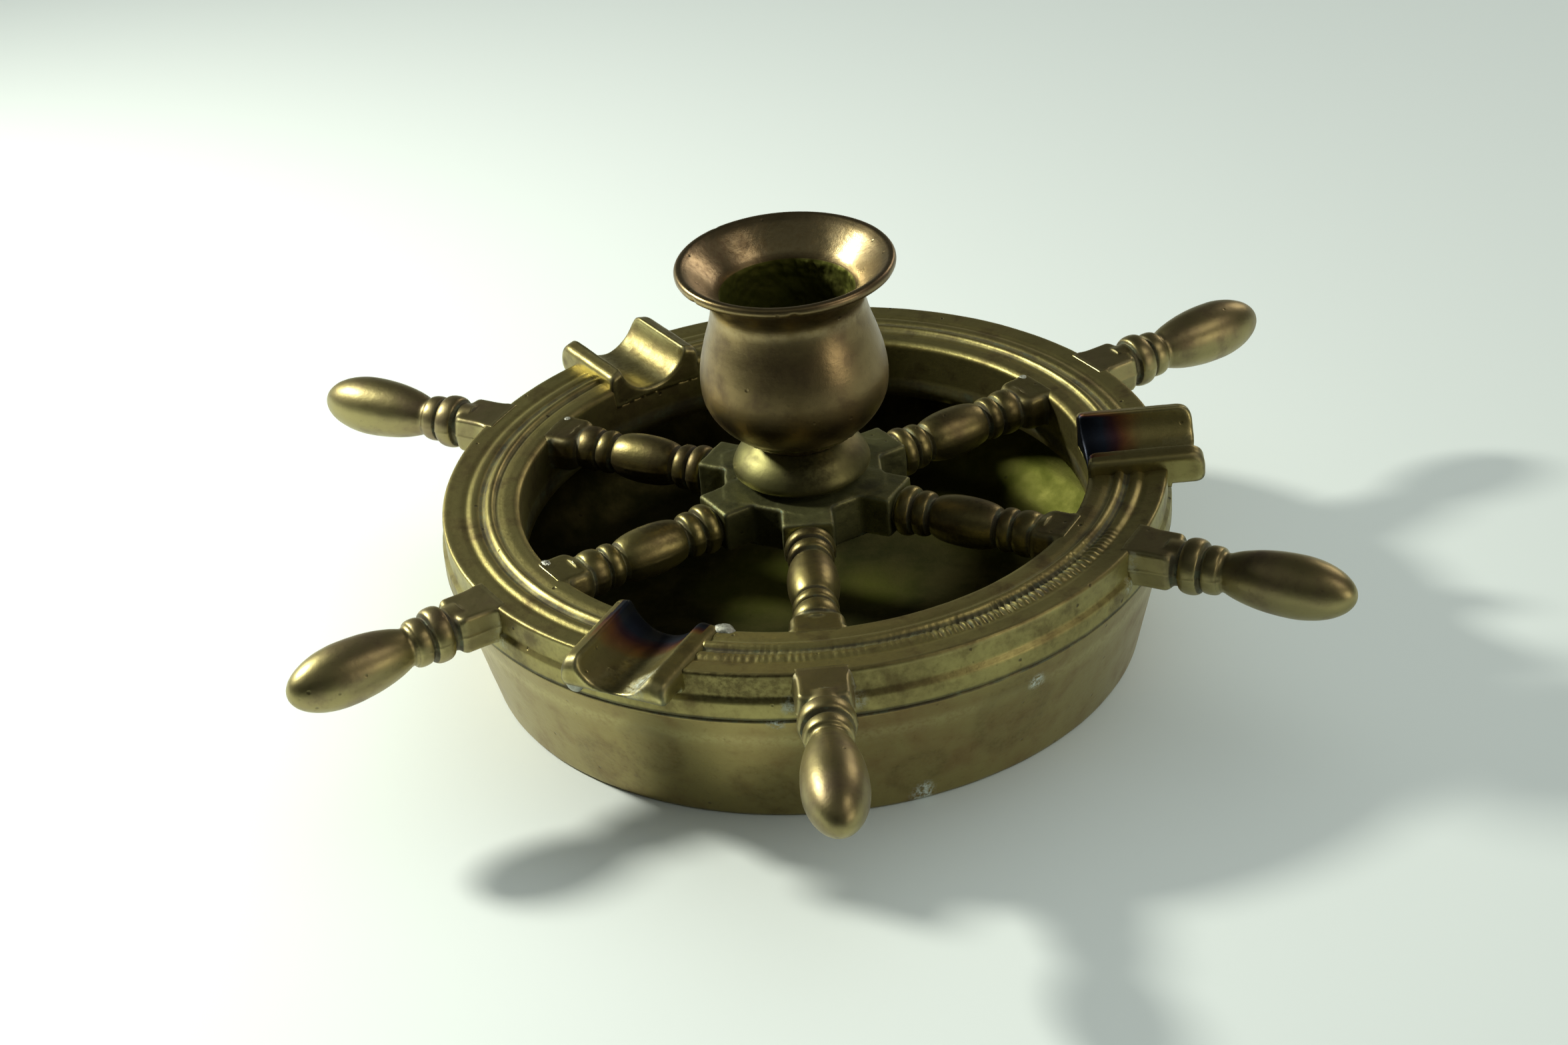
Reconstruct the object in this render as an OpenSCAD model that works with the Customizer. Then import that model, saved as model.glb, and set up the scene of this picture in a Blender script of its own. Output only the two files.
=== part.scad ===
// Ship's-wheel ashtray: tapered drum bowl, loose six-handled wheel lid with three rests,
// and a vase-shaped socket cup screwed to the hub.
// Units are millimetres, +Z is up, the origin is the centre of the bowl's flat underside,
// and handle_1 points along -Y.

/* [Bowl] */
// Height of the bowl, from the table to its rim seat
bowl_h = 20; // [19:0.5:23]
// Outer radius of the bowl at its mouth
bowl_top_r = 55.4; // [55:0.1:55.8]
// Outer radius of the bowl at its foot
bowl_foot_r = 50.4; // [48:0.5:52]
// Thickness of the bowl's side wall
bowl_wall = 2.4; // [2:0.1:2.6]
// Thickness of the bowl's floor
bowl_floor = 3; // [2.5:0.5:4]

/* [Rim] */
// Outer radius of the rim's upper wall
rim_outer_r = 55.3; // [55:0.1:55.6]
// Radius of the round opening inside the rim
rim_inner_r = 43.4; // [43:0.1:44]
// Height of the rim's outer band above the bowl seat
rim_h = 7.7; // [7.5:0.1:8]
// Step that the lower band stands out from the upper wall
rim_ledge = 0.5; // [0.3:0.1:0.7]
// Radial clearance of the rim's spigot in the bowl's mouth
spigot_clearance = 0.35; // [0.2:0.05:0.5]
// Depth that the spigot reaches down into the bowl
spigot_depth = 2.6; // [2:0.1:3]

/* [Wheel] */
// Height of the middle plane of the spokes and handles
axle_z = 24.7; // [24.5:0.1:25]
// Distance from the hub's middle to the flats between the spokes
hub_flat_r = 12; // [11.5:0.1:12.5]
// Thickness of the hub
hub_t = 7.4; // [7:0.1:7.6]
// Distance from the hub's middle to the ends of the square spoke roots
root_end_r = 16.4; // [16:0.1:16.8]
// Width of each square spoke root
root_w = 7.8; // [7.5:0.1:8]
// Distance from the wheel's middle to the handle tips
handle_tip_r = 88.2; // [87:0.2:90]
// Largest diameter of a handle's grip
grip_d = 9.4; // [9:0.1:9.6]

/* [Rests] */
// Overall width of a rest, across both ears
rest_w = 16.8; // [16.4:0.2:18]
// Radius of the round trough
trough_r = 5.9; // [5.7:0.1:6.1]
// Height of the bottom of the trough
trough_z = 25.2; // [25.1:0.1:25.5]
// Height of the tops of the ears
ear_z = 30.2; // [29.8:0.1:30.4]
// Distance from the wheel's middle to the outer end of a rest
rest_outer_r = 60.4; // [60:0.1:61]

/* [Cup] */
// Height of the top of the lip
lip_z = 64.2; // [63.5:0.1:65]
// Outer radius of the lip
lip_r = 16.5; // [16.3:0.1:16.8]
// Radius of the socket that takes a candle or matches
socket_r = 10; // [9.8:0.1:10.1]
// Height of the floor of the socket
socket_floor_z = 40; // [39:0.5:42]
// Radius of the domed foot under the cup
foot_r = 10.5; // [10:0.1:11]
// Radius of the stud that holds the cup
stud_r = 3; // [2.5:0.1:3.2]
// Radial running clearance of the stud in the hub
stud_clearance = 0.08; // [0.05:0.01:0.1]

/* [Hidden] */
$fn = 96;

// Colours of the aged brass
brass_olive = [0.45, 0.40, 0.20];
brass_dark = [0.36, 0.32, 0.17];
brass_bright = [0.56, 0.52, 0.26];
brass_brown = [0.44, 0.35, 0.22];

// Spokes and handles share six directions, 60 degrees apart, from -Y round to -X
spoke_step = 60;
first_angle = -90;
rest_step = 120;

// Rim section
rim_z = bowl_h + rim_h;
rim_edge_r = 1.2;
ledge_z = bowl_h + 3.4;
groove_r = 49.4;
groove_drop = 1;
crest_r = 48;
crest_rise = 0.5;
crest_w = 0.7;
band_drop = 0.2;
inner_edge_r = 0.6;
bowl_mouth_r = bowl_top_r - bowl_wall;
spigot_r = bowl_mouth_r - spigot_clearance;

// Hub and spokes
hub_top_z = axle_z + hub_t / 2;
hub_bottom_z = axle_z - hub_t / 2;
root_h = 6.8;
spoke_block_r = 38.9;
spoke_block_w = 7.6;
spoke_block_h = 6.4;

// Handles
handle_block_end_r = 60.9;
handle_block_w = 8.5;
handle_block_h = 5.9;
block_draft = 0.5;
grip_start_r = 69;
grip_widest_r = 79;
grip_reach = 12.9;

// Rests
notch_z = 24;
rest_under_z = notch_z + 0.6;
ear_round_r = 2;

// Cup and its fastening
foot_bottom_z = hub_top_z + 0.05;
cup_bottom_z = 34.6;
waist_r = 6.8;
stud_top_z = 38.2;
washer_r = 6.5;
washer_t = 1;
washer_top_z = hub_bottom_z - 0.05;
nut_flats = 10;
nut_h = 4;
nut_top_z = washer_top_z - washer_t;
stud_bottom_z = nut_top_z - nut_h - 0.8;
stud_chamfer = 0.5;

// Points along a circle's arc, from angle a0 to angle a1
function arc(x, y, r, a0, a1, n = 8) =
    [for (i = [0:n]) let (a = a0 + (a1 - a0) * i / n) [x + r * cos(a), y + r * sin(a)]];

// Points along a half-round bead of radius bulge, between stations s0 and s1 of a turned piece
function bead(s0, s1, base, bulge, n = 8) =
    [for (i = [0:n]) let (a = 180 * i / n) [base + bulge * sin(a), s0 + (s1 - s0) * (1 - cos(a)) / 2]];

// Points along one smooth cosine blend between two radii
function blend(s0, s1, r0, r1, n = 8) =
    [for (i = [0:n]) let (t = i / n) [r0 + (r1 - r0) * (1 - cos(180 * t)) / 2, s0 + (s1 - s0) * t]];

// A turned piece laid along +X at the wheel's middle plane; stations run outwards from the centre
module turned(profile) {
    translate([0, 0, axle_z])
        rotate([0, 90, 0])
            rotate_extrude()
                polygon(profile);
}

// A bar of hexagonal section with mould draft, from radius r0 to r1 along +X
module drafted_bar(r0, r1, w, h, draft) {
    translate([r0, 0, axle_z])
        rotate([90, 0, 90])
            linear_extrude(height = r1 - r0)
                polygon([
                    [-w / 2, 0], [-w / 2 + draft, -h / 2], [w / 2 - draft, -h / 2],
                    [w / 2, 0], [w / 2 - draft, h / 2], [-w / 2 + draft, h / 2]
                ]);
}

// Outside of the rim, filled to the axis, which the handles and rests are fitted against
module rim_envelope() {
    rotate_extrude()
        polygon(concat(
            [[0, 0], [rim_outer_r + rim_ledge, 0], [rim_outer_r + rim_ledge, ledge_z]],
            [[rim_outer_r, ledge_z]],
            arc(rim_outer_r - rim_edge_r, rim_z - rim_edge_r, rim_edge_r, 0, 90),
            [[0, rim_z]]
        ));
}

module bowl() {
    corner = 0.8;
    cove = 5;
    floor_r = bowl_foot_r - bowl_wall;
    color(brass_olive)
        rotate_extrude()
            polygon(concat(
                [[0, 0]],
                arc(bowl_foot_r - corner, corner, corner, -90, 0, 4),
                [[bowl_top_r, bowl_h - 0.5], [bowl_top_r - 0.4, bowl_h]],
                [[bowl_mouth_r, bowl_h]],
                [[bowl_mouth_r, bowl_h - spigot_depth - 1]],
                arc(floor_r - cove + 0.6, bowl_floor + cove, cove, 0, -90),
                [[0, bowl_floor]]
            ));
}

module rim() {
    color(brass_olive)
        difference() {
            rotate_extrude()
                polygon(concat(
                    [[rim_inner_r, bowl_h - spigot_depth], [spigot_r, bowl_h - spigot_depth]],
                    [[spigot_r, bowl_h], [rim_outer_r + rim_ledge, bowl_h]],
                    [[rim_outer_r + rim_ledge, ledge_z], [rim_outer_r, ledge_z]],
                    arc(rim_outer_r - rim_edge_r, rim_z - rim_edge_r, rim_edge_r, 0, 90),
                    [[groove_r + 1.6, rim_z - groove_drop + 0.3], [groove_r, rim_z - groove_drop]],
                    [[crest_r + crest_w / 2, rim_z + crest_rise], [crest_r - crest_w / 2, rim_z + crest_rise]],
                    [[crest_r - crest_w / 2 - 0.3, rim_z - band_drop]],
                    arc(rim_inner_r + inner_edge_r, rim_z - band_drop - inner_edge_r, inner_edge_r, 90, 180, 4)
                ));
            for (i = [0:2])
                rotate([0, 0, i * rest_step])
                    translate([rim_inner_r - 3, -rest_w / 2, notch_z])
                        cube([20, rest_w, 10]);
        }
}

module hub() {
    color(brass_dark)
        difference() {
            union() {
                translate([0, 0, hub_bottom_z])
                    rotate([0, 0, spoke_step / 2])
                        cylinder(r = hub_flat_r / cos(spoke_step / 2), h = hub_t, $fn = 6);
                for (i = [0:5])
                    rotate([0, 0, first_angle + i * spoke_step])
                        translate([0, -root_w / 2, hub_top_z - root_h])
                            cube([root_end_r, root_w, root_h]);
            }
            translate([0, 0, hub_bottom_z - 1])
                cylinder(r = stud_r + stud_clearance, h = hub_t + 2);
        }
}

// Baluster between the hub's root and the rim, with a square block at the rim
module spoke(angle) {
    color(brass_olive)
        rotate([0, 0, angle]) {
            turned(concat(
                [[0, root_end_r]],
                bead(root_end_r, root_end_r + 2.9, 3.1, 0.6),
                bead(root_end_r + 2.9, root_end_r + 5.4, 2.9, 0.5),
                blend(root_end_r + 5.4, root_end_r + 12, 2.6, 3.7),
                blend(root_end_r + 12, root_end_r + 16.8, 3.7, 2.6),
                bead(root_end_r + 16.8, root_end_r + 19.3, 2.7, 0.6),
                bead(root_end_r + 19.3, spoke_block_r, 2.8, 0.6),
                [[0, spoke_block_r]]
            ));
            intersection() {
                drafted_bar(spoke_block_r, rim_inner_r + 2, spoke_block_w, spoke_block_h, block_draft);
                cylinder(r = rim_inner_r, h = rim_z + 5);
            }
        }
}

// Square block against the rim, two beads and an egg-shaped grip
module handle(angle) {
    tip_len = handle_tip_r - grip_widest_r;
    neck_a = asin((grip_widest_r - grip_start_r) / grip_reach);
    color(brass_olive)
        rotate([0, 0, angle]) {
            difference() {
                drafted_bar(rim_outer_r - 2, handle_block_end_r, handle_block_w, handle_block_h, block_draft);
                rim_envelope();
            }
            turned(concat(
                [[0, handle_block_end_r - 0.5], [3.4, handle_block_end_r - 0.5], [3.4, handle_block_end_r + 0.6]],
                bead(handle_block_end_r + 0.6, handle_block_end_r + 4.2, 3.4, 0.9),
                bead(handle_block_end_r + 4.4, handle_block_end_r + 7.4, 3.1, 0.75),
                [for (i = [0:12]) let (a = neck_a * (12 - i) / 12)
                    [grip_d / 2 * cos(a), grip_widest_r - grip_reach * sin(a)]],
                [for (i = [1:12]) let (a = 90 * i / 12)
                    [grip_d / 2 * cos(a), grip_widest_r + tip_len * sin(a)]]
            ));
        }
}

// Channel with two ears, let into a notch in the rim and standing out beyond its wall
module rest(angle) {
    color(brass_olive)
        rotate([0, 0, angle])
            difference() {
                rest_side();
                translate([rim_inner_r - 5, 0, trough_z + trough_r])
                    rotate([0, 90, 0])
                        cylinder(r = trough_r, h = 30);
                translate([0, 0, notch_z - 1])
                    cylinder(r = rim_inner_r, h = 10);
            }
}

// Side outline of the channel, with rounded corners and a raised underside beyond the rim
module rest_side() {
    translate([0, rest_w / 2, 0])
        rotate([90, 0, 0])
            linear_extrude(height = rest_w)
                polygon(concat(
                    [[rim_inner_r - 2, notch_z], [rim_outer_r, notch_z], [rim_outer_r, rest_under_z]],
                    arc(rest_outer_r - ear_round_r, rest_under_z + ear_round_r, ear_round_r, -90, 0, 6),
                    arc(rest_outer_r - ear_round_r, ear_z - ear_round_r, ear_round_r, 0, 90, 6),
                    arc(rim_inner_r + 1.5, ear_z - 1.5, 1.5, 90, 180, 4)
                ));
}

module cup() {
    neck_z = 57;
    neck_out_r = 11.5;
    belly_z = 45.6;
    belly_r = 14.2;
    belly_core_r = 3;
    belly_drop = 11.6;
    waist_a = asin((waist_r - belly_core_r) / (belly_r - belly_core_r));
    throat_z = 59.2;
    lip_t = 1.4;
    flare_r = lip_r - lip_t / 2;
    color(brass_brown)
        difference() {
            rotate_extrude()
                polygon(concat(
                    [[0, cup_bottom_z], [waist_r, cup_bottom_z]],
                    [for (i = [0:12]) let (a = waist_a + (90 - waist_a) * i / 12)
                        [belly_core_r + (belly_r - belly_core_r) * sin(a), belly_z - belly_drop * cos(a)]],
                    blend(belly_z + 0.8, neck_z - 0.4, belly_r, neck_out_r, 10),
                    [for (i = [0:8]) let (a = 90 * i / 8)
                        [flare_r - (flare_r - neck_out_r) * cos(a), neck_z + (lip_z - lip_t - neck_z) * sin(a)]],
                    arc(lip_r - lip_t / 2, lip_z - lip_t / 2, lip_t / 2, -75, 90, 8),
                    [for (i = [1:8]) let (a = 90 * i / 8)
                        [flare_r - (flare_r - socket_r) * sin(a), throat_z + (lip_z - throat_z) * cos(a)]],
                    [[socket_r, socket_floor_z], [0, socket_floor_z]]
                ));
            translate([0, 0, cup_bottom_z - 1])
                cylinder(r = stud_r, h = stud_top_z - cup_bottom_z + 1);
        }
}

module cup_foot() {
    boss_r = 8.6;
    boss_h = 0.7;
    edge_r = 0.7;
    edge_z = foot_bottom_z + boss_h;
    dome_z = edge_z + 2 * edge_r;
    color(brass_bright)
        difference() {
            rotate_extrude()
                polygon(concat(
                    [[0, foot_bottom_z], [boss_r, foot_bottom_z], [boss_r, edge_z]],
                    arc(foot_r - edge_r, edge_z + edge_r, edge_r, -90, 0, 4),
                    [for (i = [0:8]) let (a = 90 * i / 8)
                        [waist_r + (foot_r - waist_r) * cos(a), dome_z + (cup_bottom_z - dome_z) * sin(a)]],
                    [[0, cup_bottom_z]]
                ));
            translate([0, 0, foot_bottom_z - 1])
                cylinder(r = stud_r, h = cup_bottom_z - foot_bottom_z + 2);
        }
}

module cup_stud() {
    color(brass_bright)
        rotate_extrude()
            polygon([
                [0, stud_bottom_z], [stud_r - stud_chamfer, stud_bottom_z],
                [stud_r, stud_bottom_z + stud_chamfer], [stud_r, stud_top_z], [0, stud_top_z]
            ]);
}

module washer() {
    color(brass_bright)
        translate([0, 0, washer_top_z - washer_t])
            difference() {
                cylinder(r = washer_r, h = washer_t);
                translate([0, 0, -1])
                    cylinder(r = stud_r + 0.2, h = washer_t + 2);
            }
}

module nut() {
    color(brass_bright)
        translate([0, 0, nut_top_z - nut_h])
            difference() {
                cylinder(r = nut_flats / 2 / cos(30), h = nut_h, $fn = 6);
                translate([0, 0, -1])
                    cylinder(r = stud_r, h = nut_h + 2);
            }
}

bowl();
rim();
hub();
spoke(first_angle);  // spoke_1
spoke(first_angle + spoke_step);  // spoke_2
spoke(first_angle + 2 * spoke_step);  // spoke_3
spoke(first_angle + 3 * spoke_step);  // spoke_4
spoke(first_angle + 4 * spoke_step);  // spoke_5
spoke(first_angle + 5 * spoke_step);  // spoke_6
handle(first_angle);  // handle_1
handle(first_angle + spoke_step);  // handle_2
handle(first_angle + 2 * spoke_step);  // handle_3
handle(first_angle + 3 * spoke_step);  // handle_4
handle(first_angle + 4 * spoke_step);  // handle_5
handle(first_angle + 5 * spoke_step);  // handle_6
rest(0);  // rest_1
rest(rest_step);  // rest_2
rest(2 * rest_step);  // rest_3
cup();
cup_foot();
cup_stud();
washer();
nut();
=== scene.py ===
"""Aged brass ship's-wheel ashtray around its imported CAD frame: bowl, loose wheel lid and socket cup.

Lengths in the mesh code are millimetres along the frame's axes; finished meshes are in metres.
"""
import math

import bpy
import numpy as np
from mathutils import Matrix, Vector


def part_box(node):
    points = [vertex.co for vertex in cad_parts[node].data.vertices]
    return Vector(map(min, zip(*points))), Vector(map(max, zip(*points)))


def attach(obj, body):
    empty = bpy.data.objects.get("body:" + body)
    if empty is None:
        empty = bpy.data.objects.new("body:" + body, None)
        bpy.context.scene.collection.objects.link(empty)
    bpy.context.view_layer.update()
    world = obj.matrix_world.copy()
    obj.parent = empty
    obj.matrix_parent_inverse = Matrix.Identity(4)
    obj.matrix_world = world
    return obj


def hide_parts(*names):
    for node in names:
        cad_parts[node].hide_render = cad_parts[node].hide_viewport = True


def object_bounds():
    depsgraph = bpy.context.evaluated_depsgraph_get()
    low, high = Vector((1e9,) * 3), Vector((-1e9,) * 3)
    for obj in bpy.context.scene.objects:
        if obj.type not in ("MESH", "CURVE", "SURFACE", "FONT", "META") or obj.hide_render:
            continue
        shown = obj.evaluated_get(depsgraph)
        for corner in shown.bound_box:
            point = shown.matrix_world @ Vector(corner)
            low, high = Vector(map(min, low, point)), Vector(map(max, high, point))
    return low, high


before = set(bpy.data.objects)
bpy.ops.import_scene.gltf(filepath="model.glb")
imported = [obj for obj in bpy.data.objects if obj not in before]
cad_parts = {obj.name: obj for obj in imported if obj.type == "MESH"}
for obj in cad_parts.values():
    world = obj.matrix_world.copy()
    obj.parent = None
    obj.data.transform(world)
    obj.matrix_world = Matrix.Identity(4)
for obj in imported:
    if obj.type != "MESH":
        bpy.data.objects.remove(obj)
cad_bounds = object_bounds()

# ---- sizes, from the frame


def box_mm(node):
    low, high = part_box(node)
    return np.array(low) * 1000, np.array(high) * 1000


_, (BOWL_TOP_R, _, BOWL_TOP_Z) = box_mm("bowl")
BOWL_FOOT_R = 50.4
BOWL_MOUTH_R = BOWL_TOP_R - 2.4
BOWL_WALL_R = 52.5  # about halfway up, outside
BOWL_FLOOR_Z = 3.0
(_, _, RIM_LOW_Z), (RIM_BAND_R, _, rim_high_z) = box_mm("rim")
RIM_TOP_Z = rim_high_z - 0.5
RIM_WALL_R = RIM_BAND_R - 0.5
RIM_INNER_R = 43.4
(_, tip_y, handle_low_z), (GRIP_R, _, handle_high_z) = box_mm("handle_1")
HANDLE_TIP_R = -tip_y
AXLE_Z = (handle_low_z + handle_high_z) / 2
(_, _, HUB_LOW_Z), (_, ROOT_END_R, HUB_TOP_Z) = box_mm("hub")
ROOT_HALF_W = 3.9
HUB_FLAT_R = 12.0
STUD_R = box_mm("cup_stud")[1][0]
(_, _, NOTCH_Z), (REST_END_R, _, EAR_TOP_Z) = box_mm("rest_1")
REST_SEAT_HALF_W = 7.9
TROUGH_R = 5.9
TROUGH_LOW_Z = 25.2
(_, _, CUP_LOW_Z), (LIP_R, _, LIP_Z) = box_mm("cup")
SOCKET_R = 10.0
SOCKET_FLOOR_Z = 40.0
(_, _, FOOT_LOW_Z), (FOOT_R, _, _) = box_mm("cup_foot")

SPOKE_ANGLES = [-90 + 60 * k for k in range(6)]
# Each rest: angle, how far out it ends, and how much lower its right and left ears are
REST_PLACES = [(0.0, 0.0, 0.0, 0.0), (121.4, -1.3, 0.0, 0.0), (240.8, 0.0, 0.5, 1.7)]

# ---- noise and outlines


LATTICE_MASK = 0xFFFF
LATTICE = np.random.default_rng(20).uniform(-1, 1, LATTICE_MASK + 1)
LATTICE_STEPS = np.array([1, 1619, 31337])


def lattice_noise(points, wavelength, seed):
    """Smooth noise between -1 and 1, the same on every run."""
    scaled = points / wavelength
    cell = np.floor(scaled)
    part = scaled - cell
    part = part * part * (3 - 2 * part)
    key = cell.astype(np.int64) @ LATTICE_STEPS + seed * 7919
    x, y, z = part[:, 0], part[:, 1], part[:, 2]
    step_x, step_y, step_z = LATTICE_STEPS

    def along_x(corner):
        low, high = (LATTICE[(key + corner + step) & LATTICE_MASK] for step in (0, step_x))
        return low + (high - low) * x

    def along_y(corner):
        low, high = along_x(corner), along_x(corner + step_y)
        return low + (high - low) * y

    low, high = along_y(0), along_y(step_z)
    return low + (high - low) * z


def unit(values):
    return np.clip(values, 0, 1)


def fractal(points, wavelength, seed, octaves=3):
    total = np.zeros(len(points))
    for k in range(octaves):
        total += lattice_noise(points + 17.3 * k, wavelength / 2**k, seed + k) / 2**k
    return total / (2 - 2.0 ** (1 - octaves))


def rounded(corners, closed=True):
    """Outline through corners (x, y, radius), each rounded with an arc."""
    pts = [np.array(c[:2], float) for c in corners]
    out = []
    for i, corner in enumerate(corners):
        radius = corner[2]
        if radius <= 0 or (not closed and i in (0, len(corners) - 1)):
            out.append(pts[i])
            continue
        back = pts[i - 1] - pts[i]
        ahead = pts[(i + 1) % len(pts)] - pts[i]
        len_back, len_ahead = np.linalg.norm(back), np.linalg.norm(ahead)
        back, ahead = back / len_back, ahead / len_ahead
        half = math.acos(np.clip(back @ ahead, -1, 1)) / 2
        reach = min(radius / math.tan(half), 0.48 * len_back, 0.48 * len_ahead)
        for t in np.linspace(0, 1, 9):
            a, b = (1 - t) ** 2, t**2
            out.append(pts[i] + reach * (a * back + b * ahead))
    return np.array(out)


def spline(points, steps=8):
    """Catmull-Rom curve through points."""
    p = np.array(points, float)
    p = np.vstack([2 * p[0] - p[1], p, 2 * p[-1] - p[-2]])
    out = []
    for i in range(1, len(p) - 2):
        for t in np.linspace(0, 1, steps, endpoint=False):
            out.append(
                0.5
                * (
                    2 * p[i]
                    + (p[i + 1] - p[i - 1]) * t
                    + (2 * p[i - 1] - 5 * p[i] + 4 * p[i + 1] - p[i + 2]) * t**2
                    + (3 * p[i] - p[i - 1] - 3 * p[i + 1] + p[i + 2]) * t**3
                )
            )
    out.append(p[-2])
    return np.array(out)


def resample(outline, spacing, closed):
    """Points along an outline, spacing(x, y) apart."""
    ends = np.vstack([outline, outline[:1]]) if closed else outline
    dense = [ends[:1]]
    for a, b in zip(ends[:-1], ends[1:]):
        count = max(1, int(np.linalg.norm(b - a) / 0.04))
        dense.append(a + (b - a) * (np.arange(1, count + 1) / count)[:, None])
    dense = np.vstack(dense)
    steps = np.linalg.norm(np.diff(dense, axis=0), axis=1)
    middle = (dense[1:] + dense[:-1]) / 2
    progress = np.concatenate([[0], np.cumsum(steps / spacing(middle[:, 0], middle[:, 1]))])
    count = max(8, int(round(progress[-1])))
    targets = np.linspace(0, progress[-1], count + 1)
    if closed:
        targets = targets[:-1]
    return np.stack([np.interp(targets, progress, dense[:, k]) for k in (0, 1)], axis=1)


def outline_distance(points, outline, closed=True):
    """Distance from 2-D points to an outline, negative inside. An open outline is closed along the axis."""
    best = np.full(len(points), np.inf)
    inside = np.zeros(len(points), bool)
    ring = np.vstack([outline, outline[:1]])
    for i, (a, b) in enumerate(zip(ring[:-1], ring[1:])):
        crosses = (a[1] > points[:, 1]) != (b[1] > points[:, 1])
        if crosses.any():
            at = (b[0] - a[0]) * (points[:, 1] - a[1]) / (b[1] - a[1] + 1e-12) + a[0]
            inside ^= crosses & (points[:, 0] < at)
        if not closed and i == len(outline) - 1:
            continue
        edge = b - a
        t = unit(((points - a) @ edge) / max(edge @ edge, 1e-12))
        best = np.minimum(best, np.linalg.norm(points - a - t[:, None] * edge, axis=1))
    return np.where(inside, -best, best)


# ---- mesh makers


CAD_LOW, CAD_HIGH = np.array(cad_bounds[0]) * 1000, np.array(cad_bounds[1]) * 1000


def finish_mesh(name, body, replaces, points, faces, attributes, material):
    points = np.clip(points, CAD_LOW + 0.005, CAD_HIGH - 0.005)
    mesh = bpy.data.meshes.new(name)
    mesh.from_pydata((points / 1000).tolist(), [], faces)
    mesh.polygons.foreach_set("use_smooth", [True] * len(mesh.polygons))
    for key, values in attributes.items():
        layer = mesh.attributes.new(key, "FLOAT", "POINT")
        layer.data.foreach_set("value", np.asarray(values, np.float32))
    mesh.materials.append(material)
    mesh.update()
    obj = bpy.data.objects.new(name, mesh)
    bpy.context.scene.collection.objects.link(obj)
    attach(obj, body)
    if replaces:
        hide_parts(*replaces)
    return obj


def shade_masks(outside, inside):
    """How enclosed and how exposed each vertex is, from the distances 1 mm outside and 1 mm inside it."""
    return unit(1 - outside), unit(1 + inside)


MOST_QUADS = 97000  # a piece stays under 200,000 triangles


def lathe(outline, segments, displace, closed=True):
    """Turns an outline (radius, height) round the Z axis; an open outline starts and ends on the axis."""
    ahead = np.roll(outline, -1, axis=0)
    behind = np.roll(outline, 1, axis=0)
    if not closed:
        ahead[-1], behind[0] = outline[-1], outline[0]
    along = ahead - behind
    normal = np.stack([along[:, 1], -along[:, 0]], axis=1)
    normal /= np.maximum(np.linalg.norm(normal, axis=1), 1e-9)[:, None]
    if outline_distance(outline[3:4] + 0.02 * normal[3:4], outline, closed)[0] < 0:
        normal = -normal
    shifted = [outline_distance(outline + side * normal, outline, closed) for side in (1, -1)]
    cavity, edge = shade_masks(*shifted)
    rows = slice(None) if closed else slice(1, -1)
    ring, ring_normal = outline[rows], normal[rows]
    count = len(ring)
    theta = np.arange(segments) * 2 * math.pi / segments
    cos, sin = np.cos(theta)[:, None], np.sin(theta)[:, None]

    def revolve(pairs):
        height = np.broadcast_to(pairs[:, 1], (segments, count))
        return np.stack([pairs[:, 0] * cos, pairs[:, 0] * sin, height], axis=2).reshape(-1, 3)

    points, normals = revolve(ring), revolve(ring_normal)
    points = points + normals * displace(points)[:, None]
    i, j = np.meshgrid(np.arange(segments), np.arange(count if closed else count - 1), indexing="ij")
    i2, j2 = (i + 1) % segments, (j + 1) % count
    quads = np.stack([i * count + j, i * count + j2, i2 * count + j2, i2 * count + j], axis=2).reshape(-1, 4)
    faces = quads.tolist()
    cavity, edge = np.tile(cavity[rows], segments), np.tile(edge[rows], segments)
    if not closed:
        poles = np.array([[0, 0, outline[0, 1]], [0, 0, outline[-1, 1]]])
        first = len(points)
        points = np.vstack([points, poles])
        cavity, edge = np.append(cavity, [0, 0]), np.append(edge, [0, 0])
        for k in range(segments):
            k2 = (k + 1) % segments
            faces.append([first, k * count, k2 * count])
            faces.append([first + 1, k2 * count + count - 1, k * count + count - 1])
    if signed_volume(points, faces) < 0:
        faces = [f[::-1] for f in faces]
    return points, faces, {"cavity": cavity, "edge": edge}


def signed_volume(points, faces):
    tri = np.array([f[:3] for f in faces])
    quad = np.array([[f[0], f[2], f[3]] for f in faces if len(f) == 4])
    both = np.vstack([tri, quad]) if len(quad) else tri
    a, b, c = points[both[:, 0]], points[both[:, 1]], points[both[:, 2]]
    return np.einsum("ij,ij->", a, np.cross(b, c)) / 6


def join(a, b, soft):
    """Union of two fields with a fillet about soft wide."""
    h = unit(0.5 + 0.5 * (b - a) / soft)
    return b + (a - b) * h - soft * h * (1 - h)


def meet(a, b, soft):
    """Intersection of two fields with an edge rounded about soft wide."""
    return -join(-a, -b, soft)


def turned(outline):
    """Field of a piece turned round the local X axis; outline holds (station, radius) from axis to axis."""
    pitch, reach = 0.08, 4
    low = outline.min(axis=0) - 1.5
    xs = np.arange(low[0], outline[:, 0].max() + 1.5, pitch)
    rs = np.arange(0, outline[:, 1].max() + reach, pitch)
    grid = np.stack(np.meshgrid(xs, rs, indexing="ij"), axis=2)
    table = outline_distance(grid.reshape(-1, 2), outline, closed=False).reshape(len(xs), len(rs))

    def field(x, radius):
        u = np.clip((x - xs[0]) / pitch, 0, len(xs) - 1.001)
        v = np.clip(radius / pitch, 0, len(rs) - 1.001)
        i, j = u.astype(int), v.astype(int)
        s, t = u - i, v - j
        lower = table[i, j] * (1 - t) + table[i, j + 1] * t
        upper = table[i + 1, j] * (1 - t) + table[i + 1, j + 1] * t
        beyond = np.maximum(0, np.maximum(xs[0] - x, x - xs[-1]))
        return lower * (1 - s) + upper * s + beyond

    return field


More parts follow.
